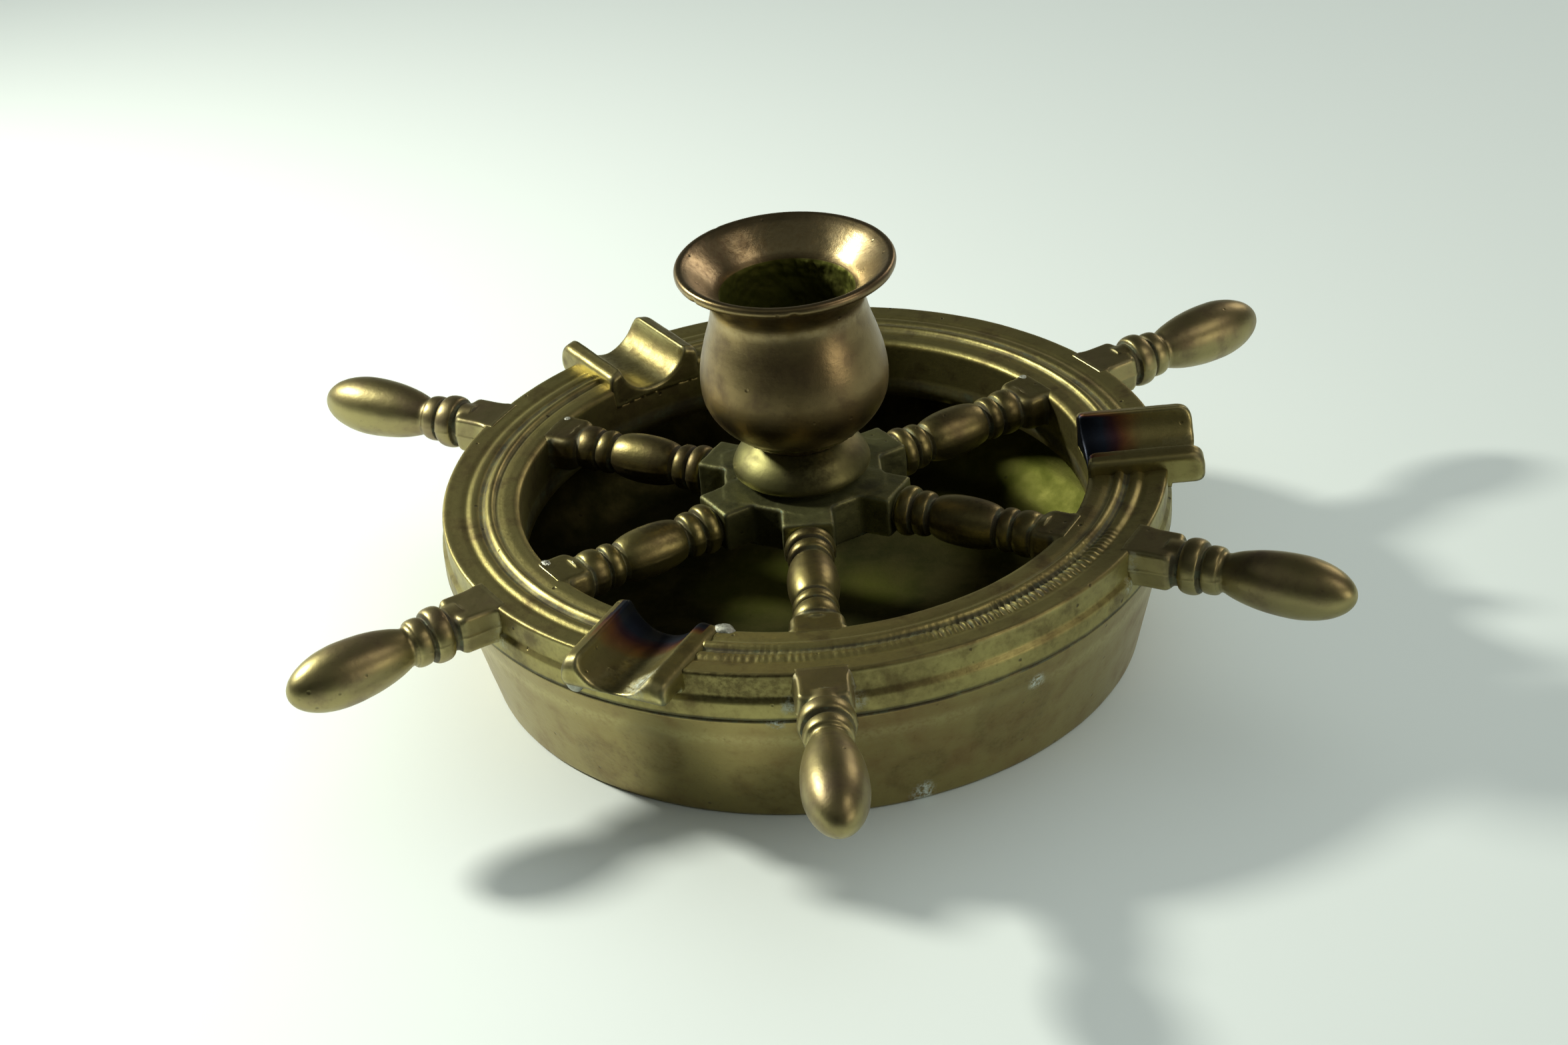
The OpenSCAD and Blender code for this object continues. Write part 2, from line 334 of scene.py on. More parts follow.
FIELD_BATCH = 200000  # points worked out at once, to keep memory low


def sculpt(field, low, high, pitch):
    """Quad mesh of field(points) = 0 by surface nets, drawn onto the exact surface."""
    low, high = np.array(low, float), np.array(high, float)
    shape = np.ceil((high - low) / pitch).astype(int) + 1
    axes = [low[k] + pitch * np.arange(shape[k]) for k in range(3)]
    grid = np.stack(np.meshgrid(*axes, indexing="ij"), axis=-1).reshape(-1, 3)
    parts = np.array_split(grid, max(1, len(grid) // FIELD_BATCH))
    value = np.concatenate([field(part) for part in parts]).reshape(shape)
    inside = value < 0
    total = np.zeros((int(np.prod(shape)), 3))
    hits = np.zeros(int(np.prod(shape)))
    stride = np.array([shape[1] * shape[2], shape[2], 1])
    # One quad for each grid edge that the surface crosses
    crossings = []
    for axis in range(3):
        span = [slice(None)] * 3
        span[axis] = slice(0, -1)
        ahead = [slice(None)] * 3
        ahead[axis] = slice(1, None)
        a, b = value[tuple(span)], value[tuple(ahead)]
        change = inside[tuple(span)] != inside[tuple(ahead)]
        at = np.argwhere(change)
        va, vb = a[change], b[change]
        place = low + pitch * at.astype(float)
        place[:, axis] += pitch * va / (va - vb)
        others = [k for k in range(3) if k != axis]
        keep = (at[:, others[0]] > 0) & (at[:, others[1]] > 0)
        at, place, start_in = at[keep], place[keep], (va < 0)[keep]
        cells = []
        for da, db in ((0, 0), (1, 0), (1, 1), (0, 1)):
            cell = at.copy()
            cell[:, others[0]] -= da
            cell[:, others[1]] -= db
            flat = cell @ stride
            cells.append(flat)
            for k in range(3):
                total[:, k] += np.bincount(flat, place[:, k], len(total))
            hits += np.bincount(flat, minlength=len(hits))
        quad = np.stack(cells, axis=1)
        flip = start_in if axis != 1 else ~start_in
        quad[~flip] = quad[~flip][:, ::-1]
        crossings.append(quad)
    used = np.flatnonzero(hits)
    number = np.full(len(hits), -1)
    number[used] = np.arange(len(used))
    points = total[used] / hits[used, None]
    quads = number[np.vstack(crossings)]
    # Newton steps onto the exact surface
    for _ in range(2):
        distance = field(points)
        slope = gradient(field, points)
        size = np.maximum((slope**2).sum(axis=1), 0.25)
        move = np.clip(distance / size, -pitch, pitch)[:, None] * slope
        points = points - move
    slope = gradient(field, points)
    normal = slope / np.maximum(np.linalg.norm(slope, axis=1), 1e-6)[:, None]
    cavity, edge = shade_masks(field(points + normal), field(points - normal))
    if signed_volume(points, quads[:, :4].tolist()) < 0:
        quads = quads[:, ::-1]
    return points, quads.tolist(), {"cavity": cavity, "edge": edge}


def gradient(field, points, step=0.06):
    out = np.empty_like(points)
    for axis in range(3):
        shift = np.zeros(3)
        shift[axis] = step
        out[:, axis] = (field(points + shift) - field(points - shift)) / (2 * step)
    return out


def turn(points, degrees):
    c, s = math.cos(math.radians(degrees)), math.sin(math.radians(degrees))
    return np.stack(
        [points[:, 0] * c - points[:, 1] * s, points[:, 0] * s + points[:, 1] * c, points[:, 2]], axis=1
    )


def ring_radius(p):
    return np.hypot(p[:, 0], p[:, 1])


# ---- materials


def node(tree, kind, values=(), **settings):
    made = tree.nodes.new(kind)
    for key, value in settings.items():
        setattr(made, key, value)
    for key, value in dict(values).items():
        socket = made.inputs[key]
        if isinstance(value, bpy.types.NodeSocket):
            tree.links.new(value, socket)
        else:
            socket.default_value = value
    return made


def math_node(tree, operation, a, b=0.0, clamp=False):
    return node(tree, "ShaderNodeMath", {0: a, 1: b}, operation=operation, use_clamp=clamp).outputs[0]


def times(tree, a, b):
    return math_node(tree, "MULTIPLY", a, b)


def plus(tree, a, b):
    return math_node(tree, "ADD", a, b)


def remap(tree, value, low, high, to_low=0.0, to_high=1.0):
    made = node(
        tree,
        "ShaderNodeMapRange",
        {"Value": value, "From Min": low, "From Max": high, "To Min": to_low, "To Max": to_high},
        interpolation_type="SMOOTHSTEP",
    )
    return made.outputs[0]


def mix_colour(tree, factor, a, b):
    return node(tree, "ShaderNodeMix", {0: factor, 6: a, 7: b}, data_type="RGBA").outputs[2]


def noise(tree, place, scale, detail, rough, distortion=0.0):
    made = node(
        tree,
        "ShaderNodeTexNoise",
        {"Vector": place, "Scale": scale, "Detail": detail, "Roughness": rough, "Distortion": distortion},
    )
    return made.outputs[0]


def colour(r, g, b):
    return (r, g, b, 1.0)


def attribute(tree, name):
    return node(tree, "ShaderNodeAttribute", attribute_name=name).outputs["Fac"]


# From cool to hot: straw, brown, purple, blue
HEAT_COLOURS = [
    (0.22, (0.36, 0.23, 0.08)),
    (0.45, (0.25, 0.11, 0.05)),
    (0.60, (0.10, 0.045, 0.05)),
    (0.78, (0.035, 0.046, 0.070)),
]
GRIME = (0.035, 0.03, 0.016)
VERDIGRIS = (0.16, 0.24, 0.15)
# Olive film, which is also the colour of the painted pools of light; black for soot and painted shade
OLIVE_FILM_AND_POOL_LIGHT, SOOT_AND_SHADE_BLACK = (0.125, 0.138, 0.024), (0.040, 0.043, 0.014)
DEPOSIT = (0.55, 0.60, 0.50)
PIT = (0.04, 0.03, 0.02)


def aged_brass(
    name, clean, patina, dark, bright, rough, patina_amount,
    verdigris=0.25, streaks=0.0, pits=0.4, grain=1.0, worn=0.7, mottle=0.45, seed=0.0,
):
    """Brass with blotched patina, worn edges, grime and verdigris in its corners, pits and a cast grain."""
    material = bpy.data.materials.new(name)
    material.use_nodes = True
    tree = material.node_tree
    tree.nodes.clear()
    coord = node(tree, "ShaderNodeTexCoord").outputs["Object"]
    scaled = node(tree, "ShaderNodeVectorMath", {0: coord, "Scale": 1000.0}, operation="SCALE").outputs[0]
    place = node(tree, "ShaderNodeVectorMath", {0: scaled, 1: (seed, seed * 1.7, seed * 0.6)}).outputs[0]
    large = noise(tree, place, 0.05, 3, 0.5, 0.15)
    middle = noise(tree, place, 0.21, 5, 0.58, 0.15)
    small = noise(tree, place, 1.2, 4, 0.6)
    fine = noise(tree, place, 6.5, 3, 0.6)
    marks = ("cavity", "edge", "heat_tint", "deposit", "stain_and_shade", "soot_and_shade")
    cavity, edge, heat, deposit, stain_and_shade, soot_and_shade = [attribute(tree, mark) for mark in marks]

    # Blotched patina over the clean metal
    blotch = plus(tree, times(tree, large, 0.55), times(tree, middle, 0.45))
    patina_mask = remap(tree, blotch, 0.56 - 0.3 * patina_amount, 0.84 - 0.3 * patina_amount)
    base = mix_colour(tree, patina_mask, colour(*clean), colour(*patina))

    def paint(mask, rgb):
        return mix_colour(tree, mask, base, colour(*rgb))

    base = paint(times(tree, remap(tree, middle, 0.50, 0.76), mottle), dark)
    base = paint(times(tree, remap(tree, small, 0.55, 0.78), 0.30), dark)

    # Worn edges, then grime and verdigris in the corners
    wear = times(tree, remap(tree, edge, 0.12, 0.55), remap(tree, small, 0.3, 0.62, 0.25, 1.0))
    wear = times(tree, wear, worn)
    base = paint(wear, bright)
    corner = times(tree, remap(tree, cavity, 0.07, 0.42), remap(tree, middle, 0.25, 0.6, 0.55, 1.0))
    corner = times(tree, corner, 0.8)
    base = paint(corner, GRIME)
    bloom = remap(tree, noise(tree, place, 0.5, 4, 0.7), 0.5, 0.62)
    green = times(tree, times(tree, remap(tree, cavity, 0.1, 0.5), bloom), verdigris)
    base = paint(green, VERDIGRIS)

    # Marks placed by the mesh: stains and painted shade, soot darkened further as painted shade with painted
    # pools of light in it, heat tint, pale deposits
    # Stains, and painted shade where the mesh marks it
    stain_and_shade_mask = times(tree, stain_and_shade, remap(tree, small, 0.35, 0.65, 0.5, 1.0))
    base = paint(stain_and_shade_mask, [0.45 * c for c in patina])
    # Soot film and painted shade, lifted to the olive colour in the painted pools of light
    soot_and_shade_mask = times(tree, remap(tree, soot_and_shade, 0.0, 0.5), remap(tree, middle, 0.2, 0.75, 0.8, 1.0))
    film_and_shade = mix_colour(tree, remap(tree, soot_and_shade, 0.5, 1.0), colour(*OLIVE_FILM_AND_POOL_LIGHT), colour(*SOOT_AND_SHADE_BLACK))
    base = mix_colour(tree, soot_and_shade_mask, base, film_and_shade)
    tint = node(tree, "ShaderNodeValToRGB", {0: heat})
    ramp = tint.color_ramp
    ramp.elements[0].color = colour(0.30, 0.22, 0.09)
    ramp.elements[1].color = colour(0.020, 0.024, 0.034)
    for at, rgb in HEAT_COLOURS:
        ramp.elements.new(at).color = colour(*rgb)
    base = mix_colour(tree, remap(tree, heat, 0.02, 0.3), base, tint.outputs[0])
    pale = times(tree, deposit, remap(tree, noise(tree, place, 1.6, 5, 0.75), 0.4, 0.58))
    base = paint(pale, DEPOSIT)

    # Small dark pits, which also dent the surface
    cells = node(tree, "ShaderNodeTexVoronoi", {"Vector": place, "Scale": 0.42}, feature="F1")
    chance = remap(tree, cells.outputs["Color"], 0.72, 0.74)
    dot = times(tree, remap(tree, cells.outputs["Distance"], 0.16, 0.06), chance)
    dot = times(tree, dot, pits)
    base = paint(dot, PIT)

    # Roughness: duller where dirty, smoother where worn
    roughness = plus(tree, rough - 0.06, times(tree, middle, 0.12))
    for mask, duller in ((patina_mask, 0.05), (corner, 0.25), (soot_and_shade_mask, 0.34), (pale, 0.4)):
        roughness = plus(tree, roughness, times(tree, mask, duller))
    roughness = math_node(tree, "SUBTRACT", roughness, times(tree, wear, 0.08), clamp=True)
    dirt = math_node(tree, "MAXIMUM", times(tree, corner, 0.6), pale)
    dirt = math_node(tree, "MAXIMUM", dirt, green, clamp=True)
    metal = math_node(tree, "SUBTRACT", 1.0, dirt, clamp=True)

    # Relief in millimetres
    relief = times(tree, small, 0.030 * grain)
    for wave, height in ((fine, 0.008), (middle, 0.06)):
        relief = plus(tree, relief, times(tree, wave, height * grain))
    if streaks:
        squeeze = {0: place, 1: (0.04, 0.04, 2.6)}
        stretched = node(tree, "ShaderNodeVectorMath", squeeze, operation="MULTIPLY").outputs[0]
        lines = noise(tree, stretched, 1.0, 4, 0.7)
        relief = plus(tree, relief, times(tree, lines, 0.02 * streaks))
    relief = math_node(tree, "SUBTRACT", relief, times(tree, dot, 0.12))
    relief = plus(tree, relief, times(tree, pale, 0.06))
    bump = node(tree, "ShaderNodeBump", {"Strength": 1.0, "Distance": 0.001, "Height": relief})
    shader = node(
        tree,
        "ShaderNodeBsdfPrincipled",
        {"Base Color": base, "Metallic": metal, "Roughness": roughness, "Normal": bump.outputs[0]},
    )
    node(tree, "ShaderNodeOutputMaterial", {"Surface": shader.outputs[0]})
    return material


BRIGHT = (0.60, 0.54, 0.24)
bowl_brass = aged_brass(
    "bowl_brass", (0.335, 0.275, 0.105), (0.27, 0.188, 0.076), (0.15, 0.10, 0.04), BRIGHT,
    rough=0.36, patina_amount=0.4, streaks=1.0, worn=0.4, mottle=0.22,
)
rim_brass = aged_brass(
    "rim_brass", (0.40, 0.355, 0.13), (0.25, 0.205, 0.08), (0.12, 0.088, 0.038), BRIGHT,
    rough=0.44, patina_amount=0.5, worn=0.35, mottle=0.7, grain=1.5, pits=0.7, seed=31.0,
)
wheel_brass = aged_brass(
    "wheel_brass", (0.33, 0.285, 0.105), (0.17, 0.13, 0.06), (0.06, 0.047, 0.025), BRIGHT,
    rough=0.38, patina_amount=0.5, seed=43.0,
)
handle_brass = aged_brass(
    "handle_brass", (0.32, 0.275, 0.12), (0.235, 0.18, 0.105), (0.12, 0.088, 0.05), BRIGHT,
    rough=0.40, patina_amount=0.45, grain=0.7, seed=57.0,
)
hub_brass = aged_brass(
    "hub_brass", (0.24, 0.24, 0.10), (0.13, 0.13, 0.055), (0.05, 0.052, 0.028), (0.42, 0.38, 0.20),
    rough=0.48, patina_amount=0.55, verdigris=0.9, worn=0.15, mottle=0.7, grain=2.0, seed=83.0,
)
cup_brass = aged_brass(
    "cup_brass", (0.26, 0.195, 0.088), (0.165, 0.115, 0.06), (0.09, 0.066, 0.04), (0.36, 0.29, 0.15),
    rough=0.34, patina_amount=0.55, streaks=0.5, grain=0.9, mottle=0.35, seed=109.0,
)
foot_brass = aged_brass(
    "foot_brass", (0.22, 0.21, 0.08), (0.15, 0.135, 0.055), (0.06, 0.055, 0.03), BRIGHT,
    rough=0.46, patina_amount=0.6, grain=0.6, seed=131.0,
)
fastener_brass = aged_brass(
    "fastener_brass", (0.42, 0.34, 0.15), (0.27, 0.21, 0.10), (0.09, 0.07, 0.035), BRIGHT,
    rough=0.40, patina_amount=0.5, seed=151.0,
)
solder = aged_brass(
    "solder", (0.34, 0.34, 0.28), (0.24, 0.24, 0.19), (0.11, 0.11, 0.08), (0.6, 0.6, 0.5),
    rough=0.42, patina_amount=0.4, verdigris=0.3, seed=171.0,
)

# ---- bowl


def bowl_relief(p):
    outer = ring_radius(p) > 44
    return 0.05 * fractal(p, 16, 3) * outer + 0.05 * fractal(p, 9, 5)


def make_bowl():
    outline = rounded(
        [
            (0, 0, 0),
            (BOWL_FOOT_R, 0.0, 0.7),
            (BOWL_TOP_R - 0.05, BOWL_TOP_Z - 0.1, 0.35),
            (BOWL_MOUTH_R, BOWL_TOP_Z - 0.1, 0.3),
            (BOWL_MOUTH_R - 0.1, BOWL_TOP_Z - 3.6, 0.8),
            (49.4, BOWL_FLOOR_Z + 4.0, 4.0),
            (44.5, BOWL_FLOOR_Z, 4.0),
            (0, BOWL_FLOOR_Z, 0),
        ],
        closed=False,
    )

    def spacing(x, y):
        return np.where(x > 48, 0.45, np.where(y > 2, 1.0, 2.2))

    outline = resample(outline, spacing, closed=False)
    points, faces, masks = lathe(outline, 560, bowl_relief, closed=False)
    points[:, 2] = np.maximum(points[:, 2], 0.0)
    radius = ring_radius(points)
    # The inside is darkened with soot and painted shade
    inside = (points[:, 2] > BOWL_FLOOR_Z - 0.5) & (radius < 50.2 + 0.15 * points[:, 2])
    wobble = wobbled(points, 4.0, 9, 31)
    # Three painted pools of light on the floor and inner wall, where the dark inside is lifted to the olive
    # film colour
    painted_light_pools = [
        0.5 * spot(wobble, 40, 44, 5, 22, 0.55),
        0.5 * spot(wobble, 130, 10, BOWL_FLOOR_Z, 15, 0.7),
        0.4 * spot(wobble, 31, 10.5, BOWL_FLOOR_Z, 10, 0.9),
    ]
    masks["soot_and_shade"] = inside * (1 - np.maximum.reduce(painted_light_pools))
    masks["stain_and_shade"] = bowl_stains(points)
    masks["edge"] *= points[:, 2] < BOWL_TOP_Z - 1.5
    masks["cavity"] = np.maximum(masks["cavity"], seam(points[:, 2]))
    masks["deposit"] = bowl_deposits(points)
    finish_mesh("bowl_drum", "bowl", ["bowl"], points, faces, masks, bowl_brass)


def seam(z):
    """Dirt along the line where the lid sits on the bowl."""
    return unit(1.2 - np.abs(z - BOWL_TOP_Z) / 0.45)


def wobbled(points, amount, wavelength, seed):
    """The points pushed about by noise, so that a spot measured from them has a ragged edge."""
    return points + amount * np.stack([fractal(points, wavelength, seed + k) for k in range(3)], axis=1)


def spot(points, angle, radius, z, size, softness=0.5):
    """1 in the middle of a spot on a round wall, fading to 0 at its edge."""
    a = math.radians(angle)
    centre = np.array([radius * math.cos(a), radius * math.sin(a), z])
    distance = np.linalg.norm(points - centre, axis=1)
    return unit((size - distance) / (size * softness))


def bowl_stains(points):
    """Dried drops with a dark edge at the front, softer marks at the back."""
    wobble = wobbled(points, 1.2, 5, 11)
    total = np.zeros(len(points))
    for angle, z, size in ((-101, 7, 5), (-99, 3.5, 4), (-118, 12, 6), (-76, 6, 5), (-60, 12, 8), (-128, 5, 7)):
        dried = spot(wobble, angle, BOWL_WALL_R, z, size, 0.35)
        dried -= 0.65 * spot(wobble, angle, BOWL_WALL_R, z, size * 0.8, 0.35)
        total = np.maximum(total, dried * 0.6)
    for angle, z, size in ((40, 10, 9), (95, 8, 7), (150, 12, 8), (200, 6, 6)):
        total = np.maximum(total, 0.4 * spot(wobble, angle, BOWL_WALL_R, z, size, 0.8))
    return total


def bowl_deposits(points):
    wobble = wobbled(points, 0.8, 2, 21)
    places = ((-56, 54.5, 16, 1.6), (-75, 50.8, 1.6, 2.2), (-97.5, 55.4, 19.6, 1.6))
    return np.maximum.reduce([spot(wobble, *place) for place in places])


# ---- rim

CHATTER_MIDDLE, CHATTER_SPREAD = -52.0, 20.0
CHATTER_PITCH = 1.1
CHATTER_R = 50.1
CHATTER_DEPTH = 0.50


def chatter(p):
    """Marks a chattering tool left across the groove outside the crest, 0 to 1."""
    angle = np.degrees(np.arctan2(p[:, 1], p[:, 0]))
    strength = np.exp(-(((angle - CHATTER_MIDDLE) / CHATTER_SPREAD) ** 4))
    strength += 0.2 * np.exp(-(((angle + 95) / 20) ** 2))
    arc = np.radians(angle) * 50
    flat = np.stack([arc, np.zeros_like(arc), np.zeros_like(arc)], axis=1)
    phase = arc / CHATTER_PITCH + 0.35 * lattice_noise(flat, 2.3, 47)
    mark = unit(1.6 * np.sin(2 * math.pi * phase) - 0.1)
    mark *= unit(0.8 + 0.5 * lattice_noise(flat, 1.7, 49))
    across = np.exp(-(((ring_radius(p) - CHATTER_R - 0.3 * lattice_noise(flat, 2, 51)) / 1.45) ** 4))
    return mark * strength * across * (p[:, 2] > RIM_TOP_Z - 1.5)


def rim_relief(p):
    return 0.045 * fractal(p, 14, 41) + 0.025 * fractal(p, 4, 43) - CHATTER_DEPTH * chatter(p)


def make_rim():
    top = RIM_TOP_Z
    seat = BOWL_TOP_Z + 0.05
    outline = rounded(
        [
            (RIM_INNER_R, RIM_LOW_Z, 0.3),
            (BOWL_MOUTH_R - 0.4, RIM_LOW_Z, 0.3),
            (BOWL_MOUTH_R - 0.4, seat, 0.1),
            (RIM_BAND_R - 0.05, seat, 0.3),
            (RIM_BAND_R - 0.02, BOWL_TOP_Z + 3.3, 0.3),
            (RIM_WALL_R - 0.1, BOWL_TOP_Z + 3.55, 0.15),
            (RIM_WALL_R, top - 0.05, 0.8),
            (54.0, top - 0.15, 0.8),
            (52.5, top - 0.22, 0.8),
            (51.7, top - 0.44, 0.6),
            (50.8, top - 0.04, 0.8),
            (50.0, top - 0.10, 0.7),
            (49.15, top - 0.58, 0.4),
            (48.35, top + 0.22, 0.5),
            (47.7, top + 0.32, 0.5),
            (47.15, top - 0.40, 0.4),
            (45.8, top - 0.15, 1.2),
            (44.3, top - 0.18, 0.8),
            (RIM_INNER_R, top - 0.65, 0.8),
        ]
    )

    def spacing(x, y):
        return np.where(y > BOWL_TOP_Z + 5.8, 0.27, np.where(x > 53, 0.6, 2.0))

    outline = resample(outline, spacing, closed=True)
    points, faces, masks = lathe(outline, min(1700, MOST_QUADS // len(outline)), rim_relief)
    # The ring is cut down where the rests are let in
    for middle, *_ in REST_PLACES:
        local = turn(points, -middle)
        hidden = (np.abs(local[:, 1]) < REST_SEAT_HALF_W) & (local[:, 0] > 0) & (points[:, 2] > NOTCH_Z + 0.1)
        points[hidden, 2] = NOTCH_Z + 0.1
    angle = np.degrees(np.arctan2(points[:, 1], points[:, 0]))
    deposit = np.zeros(len(points))
    for middle in SPOKE_ANGLES:
        for side in (-5.2, 5.0):
            pale = spot(points, middle + side, RIM_WALL_R, 22.5, 1.5)
            deposit = np.maximum(deposit, pale * (0.6 if side < 0 else 0.35))
    masks["deposit"] = deposit * (points[:, 2] < 26)
    # The outer wall is browned all round, and its upper wall is darkened much more at the front as painted
    # shade
    wall = unit((ring_radius(points) - 54.6) / 0.5)
    upper_wall = wall * (points[:, 2] > BOWL_TOP_Z + 3.4)
    from_front = (angle + 104 + 180) % 360 - 180
    blotches = 0.35 * unit(fractal(points, 11, 61) * 2)
    browned_and_front_shade = 0.2 * wall + 0.75 * upper_wall * np.exp(-((from_front / 22) ** 2))
    masks["stain_and_shade"] = unit(blotches + browned_and_front_shade)
    masks["edge"] *= points[:, 2] >= BOWL_TOP_Z + 1.0
    on_top = points[:, 2] > RIM_TOP_Z - 1.6
    cavity = np.where(on_top, unit(1.7 * masks["cavity"]), masks["cavity"])
    masks["cavity"] = np.maximum.reduce([cavity, 1.1 * chatter(points), seam(points[:, 2])])
    finish_mesh("rim_ring", "wheel", ["rim"], points, faces, masks, rim_brass)


# ---- hub, spokes, handles


def offset(p, degrees):
    """How far points lie from the Z axis along a level direction, either way."""
    a = math.radians(degrees)
    return np.abs(p[:, 0] * math.cos(a) + p[:, 1] * math.sin(a))


def hexagon(p, first, half_flats):
    return np.max([offset(p, first + 60 * k) for k in range(3)], axis=0) - half_flats


def hub_field(p):
    arms = np.full(len(p), np.inf)
    for angle in (30, 90, 150):
        arm = meet(offset(p, angle) - ROOT_END_R, offset(p, angle + 90) - ROOT_HALF_W, 0.5)
        arms = np.minimum(arms, arm)
    top = p[:, 2] - (HUB_TOP_Z - 0.12)
    body = meet(hexagon(p, 0, HUB_FLAT_R), np.maximum(top, HUB_LOW_Z + 0.1 - p[:, 2]), 0.5)
    arms = meet(arms, np.maximum(top, HUB_LOW_Z + 0.7 - p[:, 2]), 0.6)
    out = join(body, arms, 0.5)
    out = out + 0.12 * fractal(p, 5, 71) + 0.07 * fractal(p, 1.8, 73)
    return meet(out, STUD_R + 0.1 - ring_radius(p), 0.2)


def make_hub():
    reach = ROOT_END_R + 1
    low, high = (-reach, -reach, HUB_LOW_Z - 0.8), (reach, reach, HUB_TOP_Z + 0.8)
    points, faces, masks = sculpt(hub_field, low, high, 0.27)
    points[:, 2] = np.clip(points[:, 2], HUB_LOW_Z, HUB_TOP_Z - 0.02)
    finish_mesh("hub_star", "wheel", ["hub"], points, faces, masks, hub_brass)


def barrel(start, end, base, peak, power, steps=12):
    """Half outline of a rounded bead between two stations."""
    u = np.linspace(-1, 1, steps + 1)
    radius = base + (peak - base) * (1 - np.abs(u) ** power) ** (1 / power)
    return np.stack([start + (end - start) * (u + 1) / 2, radius], axis=1)


def parting_line(p, height, width, seed):
    """Ridge that the two halves of the mould leave round a casting's middle plane."""
    z = p[:, 2] - AXLE_Z
    along = np.stack([p[:, 0], np.sign(p[:, 1]) * 5, np.zeros(len(p))], axis=1)
    strength = 0.6 + 0.5 * lattice_noise(along, 4.0, seed)
    return height * np.clip(strength, 0, 1.2) * np.exp(-((z / width) ** 2))


def drafted_section(p, half_w, half_h, draft, soft):
    z, y = np.abs(p[:, 2] - AXLE_Z), np.abs(p[:, 1])
    slope = draft / half_h
    side = (y + slope * z - half_w) / math.hypot(1, slope)
    return meet(side, z - half_h, soft)


def handle_outline():
    widest, reach, neck = 79.0, 12.9, 69.0
    start = math.asin((widest - neck) / reach)
    a = np.linspace(start, 0, 18)
    rear = np.stack([widest - reach * np.sin(a), GRIP_R * np.cos(a)], axis=1)
    a = np.linspace(0, math.pi / 2, 26)[1:]
    tip = np.stack([widest + (HANDLE_TIP_R - widest) * np.sin(a), GRIP_R * np.cos(a)], axis=1)
    return np.vstack(
        [
            [[59.5, 0], [59.5, 3.3], [62.0, 3.3]],
            barrel(62.1, 65.3, 3.2, 4.2, 2.4),
            barrel(65.5, 68.1, 3.1, 3.62, 2.2),
            [[68.5, 2.9]],
            rear,
            tip,
        ]
    )


# How each handle is set, at its tip: to its left, down, and shorter
HANDLE_SET = [(0.5, 0, 0), (-0.1, 0, 0), (0, 0.1, 0.4), (0.1, 0, 0), (0, 0.1, 0.1), (0.1, 0.9, 0.7)]
HANDLE_START_R = 60  # the set grows from here to the tip


def handle_field(seed, side, drop, shorter):
    shape = turned(handle_outline())
    length = HANDLE_TIP_R - HANDLE_START_R
    stretch = length / (length - shorter)

    def field(p):
        q = p.copy()
        out_by = np.maximum(p[:, 0] - HANDLE_START_R, 0)
        q[:, 0] = np.where(out_by > 0, HANDLE_START_R + out_by * stretch, p[:, 0])
        lean = out_by / length
        q[:, 1] -= side * lean
        q[:, 2] += drop * lean
        radius = np.hypot(q[:, 1], q[:, 2] - AXLE_Z)
        out = shape(q[:, 0], radius) - parting_line(q, 0.10, 0.22, seed) * (q[:, 0] < 70)
        flare = 0.4 * np.exp(-np.maximum(q[:, 0] - RIM_WALL_R, 0) / 0.7)
        block = drafted_section(q, 4.1 + flare, 2.98, 0.45, 0.7)
        shoulder = q[:, 0] - 61.85 + 0.04 * radius**2
        block = meet(block, shoulder, 1.0)
        block = np.maximum(block, RIM_WALL_R - 1.6 - q[:, 0])
        block -= parting_line(q, 0.12, 0.2, seed + 1)
        out = join(out, block, 0.25)
        return out + 0.05 * fractal(q, 6, seed) + 0.018 * fractal(q, 1.5, seed + 3)

    return field


def make_handles():
    for k, angle in enumerate(SPOKE_ANGLES):
        name = "handle_%d" % (k + 1)
        field = handle_field(200 + 11 * k, *HANDLE_SET[k])
        points, faces, masks = sculpt(field, (52.6, -6, AXLE_Z - 5.9), (89, 6, AXLE_Z + 5.6), 0.22)
        joint = unit(1 - np.abs(points[:, 0] - RIM_WALL_R - 0.5) / 1.3)
        patchy = unit(fractal(points, 2.5, 300 + k) + 0.05)
        masks["deposit"] = 0.7 * joint * (np.abs(points[:, 1]) > 3.6) * patchy
        points = turn(points, angle)
        finish_mesh(name + "_cast", "wheel", [name], points, faces, masks, handle_brass)


def spoke_outline():
    return np.vstack(
        [
            [[14.5, 0], [14.5, 3.0], [16.5, 3.0]],
            barrel(16.7, 19.2, 2.9, 3.85, 2.2),
            barrel(19.3, 21.8, 2.7, 3.50, 2.2),
            [[22.0, 2.5]],
            barrel(22.15, 32.9, 2.55, 3.85, 2.0, 30),
            [[33.05, 2.45]],
            barrel(33.2, 35.6, 2.6, 3.40, 2.2),
            barrel(35.7, 39.2, 2.75, 3.55, 2.0),
            [[40.5, 3.2], [40.5, 0]],
        ]
    )


